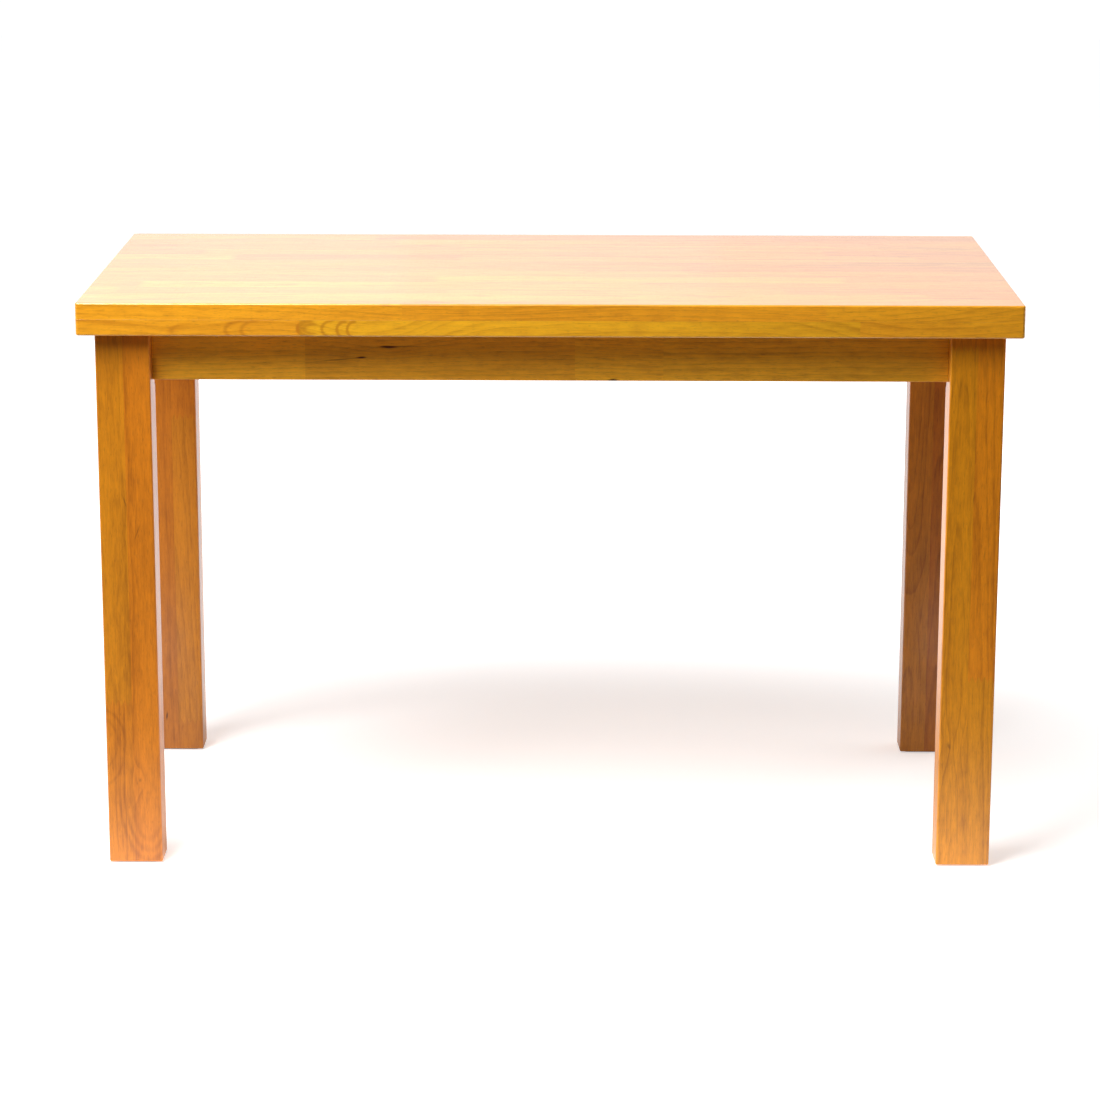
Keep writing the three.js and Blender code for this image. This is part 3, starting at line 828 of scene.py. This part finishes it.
def cross_screw(length):
    """A screw along Y with its head's bearing face at 0, its head beyond it and its tip behind.

    The head is a flattened dome: its height falls as the fourth power of the radius. The recess
    is two crossed grooves, whose depth fades at their sides and ends. The shank's radius dips
    as a triangle wave of the turns along it, and tapers to the tip.
    """
    turn = np.linspace(0, 2 * np.pi, SCREW_SIDES, endpoint=False)[None]
    rho = np.linspace(0, 1, HEAD_RINGS)[:, None] * HEAD_RADIUS
    across, along = rho * np.cos(turn), rho * np.sin(turn)
    narrow = np.minimum(np.abs(across), np.abs(along))
    wide = np.maximum(np.abs(across), np.abs(along))
    arm = np.clip((RECESS_WIDTH / 2 - narrow) / RECESS_WALL, 0, 1)
    arm *= np.clip((RECESS_ARM - wide) / RECESS_END, 0, 1)
    dome = HEAD_HEIGHT * (1 - HEAD_FALL * (rho / HEAD_RADIUS) ** 4)
    top = dome - RECESS_DEPTH * arm
    steps = np.arange(0, length, SCREW_PITCH / SCREW_RINGS)[:, None]
    phase = (steps / SCREW_PITCH - turn / (2 * np.pi)) % 1
    shank = SCREW_RADIUS - THREAD_DEPTH * np.abs(2 * phase - 1)
    shank = np.minimum(shank, (length - steps) * SCREW_TIP_SLOPE)
    around = np.concatenate([rho + 0 * turn, HEAD_RADIUS + 0 * turn, shank, 0 * turn])
    place = np.concatenate([top, 0 * turn, -steps + 0 * turn, -length + 0 * turn])
    return np.stack([around * np.cos(turn), place, around * np.sin(turn)], axis=-1)


screw_zinc = zinc_plate("screw zinc", 0.05)
for corner in CORNERS:
    for end, sideways in (("left", -1), ("right", 1)):
        for level, height in bolt_levels.items():
            offset = (sideways * (block_inner - BLOCK_SCREW_INSET), block_inner + TOUCH, height)
            points = off_corner(cross_screw(BLOCK_SCREW_LENGTH) + offset, corner)
            add_piece(f"{corner}_{end}_{level}_block_screw", points, screw_zinc, [])

# ---------------------------------------------------------------- foot pads
# A pressed wool pad is stuck under each foot, a little smaller than the leg, so that the end
# grain doesn't scrape the floor.

PAD_ROUND = 5 * MM
PAD_EASE = 0.5 * MM
FELT_RELIEF = 0.3 * MM
FELT_DARK = (0.075, 0.048, 0.032)
FELT_PALE = (0.20, 0.145, 0.10)


def pressed_felt():
    """Brown wool felt: tangled fibres as two noises, lighter hairs, and a soft sheen."""
    material, tree, shader, (x, y, z) = new_material("pressed felt")
    hairs = clouds(x * 1800, y * 700, z * 1800, 3)
    tangle = clouds(x * 600, y * 1900 + hairs * 2, z * 1900, 3)
    colour = blended((hairs * 0.5 + tangle * 0.5).step(0.3, 0.75), FELT_DARK, FELT_PALE)
    tree.links.new(colour.socket, shader.inputs["Base Color"])
    raise_skin(shader, hairs + tangle, 0.8, FELT_RELIEF)
    shader.inputs["Roughness"].default_value = 0.95
    shader.inputs["Sheen Weight"].default_value = 0.4
    return material


felt = pressed_felt()
for corner in CORNERS:
    low, high = (np.array(point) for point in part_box(f"glide_pad_{corner}"))
    high[2] += CLOSING - TOUCH
    points = milled_board(low, high, 2, [PAD_ROUND] * 4, [PAD_EASE, PAD_EASE / 3])
    add_piece(f"{corner}_felt_pad", points, felt, [f"glide_pad_{corner}"])

# ---------------------------------------------------------------- edge strips
# Strips of the same wood are glued under the panel's edge all round, so that the top looks
# twice as thick. The front and rear ones run the full length, and the end ones fit between.

TOP_ROUND = 4 * MM
GLUE_EASE = 0.1 * MM
UNDER_EASE = 2.5 * MM
STRIP_PALE = (0.97, 0.455, 0.014)
STRIP_DARK = (0.60, 0.225, 0.006)
STRIP_STAVE = 52 * MM
END_STRIP_STAVE = 62 * MM
FRONT_STRIP_JOINTS = (-313 * MM, 395 * MM)
STRIP_MARKS = (
    ("arch", -303 * MM, 718 * MM, 15 * MM, 10 * MM, 0, 0.85),
    ("arch", -298 * MM, 718 * MM, 14 * MM, 6 * MM, 0, 0.45),
    ("arch", -276 * MM, 718 * MM, 12 * MM, 10 * MM, 0, 0.50),
    ("arch", -259 * MM, 717 * MM, 10 * MM, 10 * MM, 0, 0.65),
    ("arch", -247 * MM, 717 * MM, 9 * MM, 10 * MM, 0, 0.70),
    ("arch", -390 * MM, 716 * MM, 20 * MM, 11 * MM, 0, 0.35),
    ("arch", -372 * MM, 716 * MM, 18 * MM, 11 * MM, 0, 0.30),
    ("arch", -455 * MM, 714 * MM, 24 * MM, 10 * MM, 0, 0.30),
    ("swirl", -225 * MM, 717 * MM, 52 * MM, 17 * MM, 0, 26 * MM),
    ("swirl", -470 * MM, 712 * MM, 60 * MM, 12 * MM, 0, 14 * MM),
    ("swirl", 470 * MM, 718 * MM, 70 * MM, 14 * MM, 0, 18 * MM),
)
panel_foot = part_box("top_panel")[0][2]

for side, length_axis in (("front", 0), ("rear", 0), ("left", 1), ("right", 1)):
    low, high = (np.array(point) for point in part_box(f"edge_strip_{side}"))
    high[2] = panel_foot - TOUCH
    if length_axis == 1:
        low[1] -= CLOSING
        high[1] += CLOSING
    inner, outer = [GLUE_EASE] * 2, [TOP_ROUND] * 2
    rounds = {
        "front": outer + inner,
        "rear": inner + outer,
        "left": [GLUE_EASE] * 4,
        "right": [GLUE_EASE] * 4,
    }[side]
    points = milled_board(low, high, 2, rounds, [UNDER_EASE, GLUE_EASE])
    wood = rubberwood(
        f"{side} strip wood",
        length_axis,
        {"front": 5, "rear": 13, "left": 19, "right": 29}[side],
        STRIP_PALE,
        STRIP_DARK,
        stave=(STRIP_STAVE, 1.0) if length_axis == 0 else (1.0, END_STRIP_STAVE),
        origin=(low[1], low[2]) if length_axis == 0 else (low[2], low[0]),
        lengths=(0.3, 0.55),
        finger=FINGERS,
        joints=FRONT_STRIP_JOINTS if side == "front" else None,
        marks=STRIP_MARKS if side == "front" else (),
        face=2,
        front=low[1],
        tone_spread=0.12,
    )
    add_piece(
        f"{side}_edge_lipping",
        points,
        wood,
        [f"edge_strip_{side}"],
        wear=arris_wear(points, UNDER_EASE) * (points[..., 2] < (low[2] + high[2]) / 2),
    )

# ---------------------------------------------------------------- panel
# The top is one panel of edge-glued staves, finger-jointed end to end. Its upper arris is
# rounded over all round, and the whole is sanded and lacquered to a satin shine.

PANEL_EASE = 2.2 * MM
PANEL_STAVE = 46 * MM
FIRST_STAVE_CUT = 8 * MM  # how much narrower the front stave is
PANEL_MARKS = (
    ("swirl", 372 * MM, 742 * MM, 110 * MM, 12 * MM, -0.03, 26 * MM),
    ("swirl", -90 * MM, 746 * MM, 90 * MM, 9 * MM, 0, 14 * MM),
)
PANEL_PALE = (0.92, 0.390, 0.013)
PANEL_DARK = (0.52, 0.190, 0.005)
low, high = (np.array(point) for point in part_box("top_panel"))
points = milled_board(low, high, 2, [TOP_ROUND] * 4, [GLUE_EASE, PANEL_EASE])
wood = rubberwood(
    "panel wood",
    0,
    366,
    PANEL_PALE,
    PANEL_DARK,
    stave=(PANEL_STAVE, 1.0),
    origin=(low[1] - FIRST_STAVE_CUT, low[2]),
    lengths=(0.28, 0.62),
    finger=FINGERS,
    marks=PANEL_MARKS,
    face=2,
    front=low[1],
)
wear = arris_wear(points, PANEL_EASE) * (points[..., 2] > (low[2] + high[2]) / 2)
add_piece("staved_top_panel", points, wood, ["top_panel"], wear=wear)

# ---------------------------------------------------------------- clips and clip screws
# A Z-shaped steel clip sits with its tongue in an apron's slot and its plate under the top,
# where one pan-head screw holds it, so that the top can swell and shrink across its width.

CLIP_BEND = 1.2 * MM
CLIP_CORNER = 0.3 * MM
CLIP_TONGUE = 9 * MM
CLIP_SCREW_REACH = 14 * MM
CLIP_SCREW_LENGTH = 17 * MM
BEND_STEPS = 6


def bent_strap(corners, width):
    """A flat strap along a path of straight runs in the YZ plane, with round bends between them.

    At each inner corner of the path the strap's middle line is a quarter circle that touches
    both runs. The section, a rectangle with eased corners, stands square to the path on every
    station.
    """
    corners = np.array(corners, float)
    runs = np.diff(corners, axis=0)
    runs /= np.linalg.norm(runs, axis=1)[:, None]
    bend = CLIP_BEND + CLIP_METAL / 2
    line, facing = [corners[:1]], [runs[:1]]
    for corner, arriving, leaving in zip(corners[1:-1], runs[:-1], runs[1:]):
        turn = np.linspace(0, np.pi / 2, BEND_STEPS)[:, None]
        middle = corner - arriving * bend + leaving * bend
        line.append(middle + bend * (np.sin(turn) * arriving - np.cos(turn) * leaving))
        facing.append(np.cos(turn) * arriving + np.sin(turn) * leaving)
    line = np.concatenate([*line, corners[-1:]])
    facing = np.concatenate([*facing, runs[-1:]])
    side = np.stack([-facing[:, 1], facing[:, 0]], axis=-1)
    section = outline((width / 2, CLIP_METAL / 2), [CLIP_CORNER] * 4, [0], NO_STOPS)[0]
    points = np.empty((len(line), len(section), 3))
    points[..., 0] = section[:, 0]
    points[..., 1:] = line[:, None] + section[:, 1][None, :, None] * side[:, None]
    ends = points[[0, -1]].copy()
    ends[..., 1:] = line[[0, -1]][:, None]
    ends[..., 0] = np.clip(ends[..., 0], -(width - CLIP_METAL) / 2, (width - CLIP_METAL) / 2)
    return np.concatenate([ends[:1], points, ends[1:]])


clip_zinc = zinc_plate("clip zinc", 0.02)
top_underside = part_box("edge_strip_front")[0][2]
for node in sorted(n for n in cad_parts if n.startswith("top_clip")):
    place = node.removeprefix("top_clip_")
    side = place.split("_")[0]
    inward = {"front": (0, 1), "rear": (0, -1), "left": (1, 0), "right": (-1, 0)}[side]
    low, high = (np.array(point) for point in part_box(node))
    along = 0 if inward[0] == 0 else 1
    width = high[along] - low[along]
    reach = (high - low)[1 - along]
    upright = CLIP_TONGUE + TOUCH + CLIP_METAL / 2
    tongue, plate = low[2] + CLIP_METAL / 2, top_underside - TOUCH - CLIP_METAL / 2
    strap = bent_strap([(0, tongue), (upright, tongue), (upright, plate), (reach, plate)], width)
    screw = cross_screw(CLIP_SCREW_LENGTH)[..., [0, 2, 1]] * (1, 1, -1)
    screw += (0, upright + CLIP_METAL / 2 + CLIP_SCREW_REACH, plate - CLIP_METAL / 2 - TOUCH)
    start = np.array([(low + high)[0] / 2, (low + high)[1] / 2, 0])
    start[1 - along] = (low if inward[1 - along] > 0 else high)[1 - along]
    deeper = np.array([*inward, 0])
    sideways = np.array([deeper[1], -deeper[0], 0])
    turn = np.array([sideways, deeper, (0, 0, 1)])
    add_piece(f"{place}_z_clip", start + strap @ turn, clip_zinc, [node])
    add_piece(
        f"{place}_clip_fixing_screw",
        start + screw @ turn,
        screw_zinc,
        [f"clip_screw_{place}"],
    )

# ---------------------------------------------------------------- studio
# A plain pale floor that fades into white, two soft lights in front and above, to the left,
# and pale walls of light behind and at the sides, which the lacquer mirrors.

FLOOR_REACH = 12.0
FLOOR_COLOUR = (0.82, 0.82, 0.82)
FLOOR_SHADE = (0.05, 0.05, 0.05)
FRONT_GLOW = 1.0
REAR_GLOW = 0.6
SEEN_GLOW = 0.48


def studio_floor():
    """Matt pale paint, which the camera sees brighten to white away from the table.

    To all other rays it is dark in front of the table, but glows in a band just before the
    front legs, and again behind them. That lights the feet, the rear legs and the underside.
    """
    material, tree, shader, (x, y, _) = new_material("pale floor")
    seen = Field(tree, tree.nodes.new("ShaderNodeLightPath").outputs["Is Camera Ray"])
    pool = y.step(-0.6, -0.25)
    colour = blended(pool + seen - pool * seen, FLOOR_SHADE, FLOOR_COLOUR)
    tree.links.new(colour.socket, shader.inputs["Base Color"])
    shader.inputs["Roughness"].default_value = 0.9
    shader.inputs["Specular IOR Level"].default_value = 0.1
    away = x.reach(y).step(0.55, 1.35)
    before = y.step(-0.9, -0.55) * (1 - y.step(-0.3, -0.2)) * FRONT_GLOW
    behind = y.step(0.1, 0.6) * REAR_GLOW
    shader.inputs["Emission Color"].default_value = (1, 1, 1, 1)
    glow = seen * (SEEN_GLOW + away * SEEN_GLOW) + (1 - seen) * (before + behind)
    tree.links.new(glow.socket, shader.inputs["Emission Strength"])
    return material


angle = np.linspace(0, 2 * np.pi, 96, endpoint=False)
floor_mesh = bpy.data.meshes.new("studio_floor")
rim = np.stack([FLOOR_REACH * np.cos(angle), FLOOR_REACH * np.sin(angle), 0 * angle], axis=-1)
floor_mesh.from_pydata(rim.tolist(), [], [list(range(len(rim)))])
floor_mesh.materials.append(studio_floor())
floor = bpy.data.objects.new("studio_floor", floor_mesh)
bpy.context.scene.collection.objects.link(floor)


def light_wall(name, place, target, width, height, watts, colour=(1, 1, 1)):
    """A rectangle of even light, turned to face a point, that the camera doesn't see."""
    data = bpy.data.lights.new(name, "AREA")
    data.shape = "RECTANGLE"
    data.size, data.size_y = width, height
    data.energy = watts
    data.color = colour
    lamp = bpy.data.objects.new(name, data)
    bpy.context.scene.collection.objects.link(lamp)
    lamp.location = place
    lamp.rotation_euler = (Vector(place) - Vector(target)).to_track_quat("Z", "Y").to_euler()
    lamp.visible_camera = False


light_wall("key softbox", (-1.0, -1.05, 2.6), (0, -0.25, 0.6), 1.6, 1.2, 102)
light_wall("front softbox", (-1.3, -1.95, 2.25), (0, -0.25, 0.6), 1.4, 0.4, 25)
light_wall("left wall", (-3.3, 0.9, 1.2), (0, 0, 0.6), 3.6, 2.2, 25)
light_wall("right wall", (3.3, 1.2, 1.2), (0, 0, 0.6), 3.6, 2.2, 50)
# The wall behind grows dimmer and warmer from left to right.
REAR_PANELS = 9
REAR_PANEL_WIDTH = 0.75
REAR_WALL_PLACE = 3.6
REAR_WALL_MIDDLE = 1.3
for panel in range(REAR_PANELS):
    share = panel / (REAR_PANELS - 1)
    place = (panel - (REAR_PANELS - 1) / 2) * REAR_PANEL_WIDTH
    light_wall(
        f"rear wall panel {panel}",
        (place, REAR_WALL_PLACE, REAR_WALL_MIDDLE),
        (place, 0, REAR_WALL_MIDDLE),
        REAR_PANEL_WIDTH,
        2 * REAR_WALL_MIDDLE,
        8.1 - 2.0 * share,
        (1, 0.91 - 0.11 * share, 1 - 0.29 * share),
    )

ROOM_LIGHT = 0.05
world = bpy.data.worlds.new("white room")
world.use_nodes = True
bpy.context.scene.world = world
room = world.node_tree
backdrop = room.nodes["Background"]
seen = Field(room, room.nodes.new("ShaderNodeLightPath").outputs["Is Camera Ray"])
room.links.new((ROOM_LIGHT + seen).socket, backdrop.inputs["Strength"])
backdrop.inputs["Color"].default_value = (1, 1, 1, 1)
bpy.context.scene.view_settings.view_transform = "Standard"

# The camera stands far in front of the table, a little above it, and looks slightly down.
CAMERA_PLACE = (0.0294, -4.5721, 1.4716)
CAMERA_FORWARD = (-0.00651, 0.97161, -0.23648)
CAMERA_UP = (-0.00375, 0.23646, 0.97163)
CAMERA_SENSOR = 36
CAMERA_LENS = 112.25
camera_data = bpy.data.cameras.new("camera")
camera_data.sensor_width = CAMERA_SENSOR
camera_data.lens = CAMERA_LENS
camera = bpy.data.objects.new("camera", camera_data)
bpy.context.scene.collection.objects.link(camera)
back = -Vector(CAMERA_FORWARD).normalized()
upright = Vector(CAMERA_UP)
across = upright.cross(back).normalized()
upright = back.cross(across)
turned = Matrix((across, upright, back)).transposed().to_4x4()
camera.matrix_world = Matrix.Translation(CAMERA_PLACE) @ turned
bpy.context.scene.camera = camera
